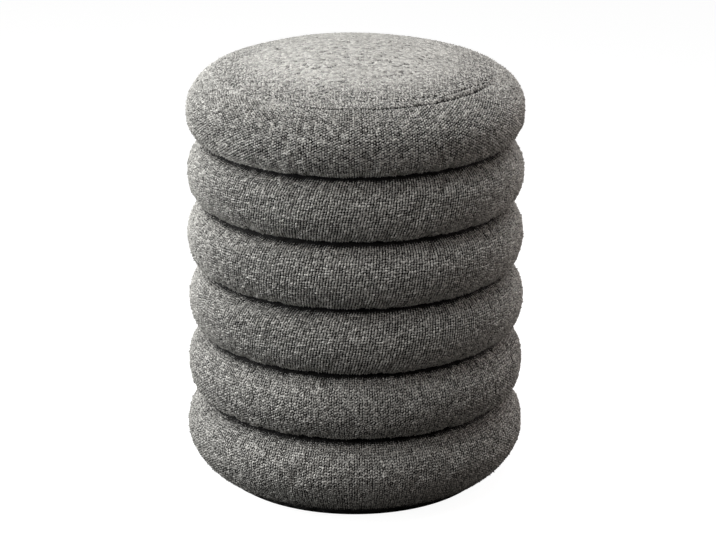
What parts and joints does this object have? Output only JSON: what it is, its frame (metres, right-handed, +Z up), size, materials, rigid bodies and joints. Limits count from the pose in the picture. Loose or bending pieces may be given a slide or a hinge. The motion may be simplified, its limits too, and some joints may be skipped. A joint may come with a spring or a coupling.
{
  "type": "storage ottoman",
  "caption": "Round upholstered storage ottoman: a stack of stuffed boucle rings around a hard tub, with a crowned cushion lid that lifts off.",
  "frame": {"origin": "on the floor at the middle of the ottoman", "axes": "+Z up through the middle of the rings, the way the lid lifts; -Y is the side seen in the picture"},
  "size_m": [0.347, 0.3465, 0.4486],
  "materials": {
    "boucle": "grey boucle cloth, woven of looped yarn",
    "board": "clear-sealed birch plywood"
  },
  "bodies": {
    "base": {"storage_tub": "board", "ring_1": "boucle", "ring_2": "boucle", "ring_3": "boucle", "ring_4": "boucle", "ring_5": "boucle"},
    "lid": {"lid_board": "board", "lid_cushion": "boucle"}
  },
  "joints": [
    {"name": "lid_lift", "type": "slide", "parent": "base", "child": "lid", "axis": [0, 0, 1], "range_m": [0, 0.25]}
  ]
}
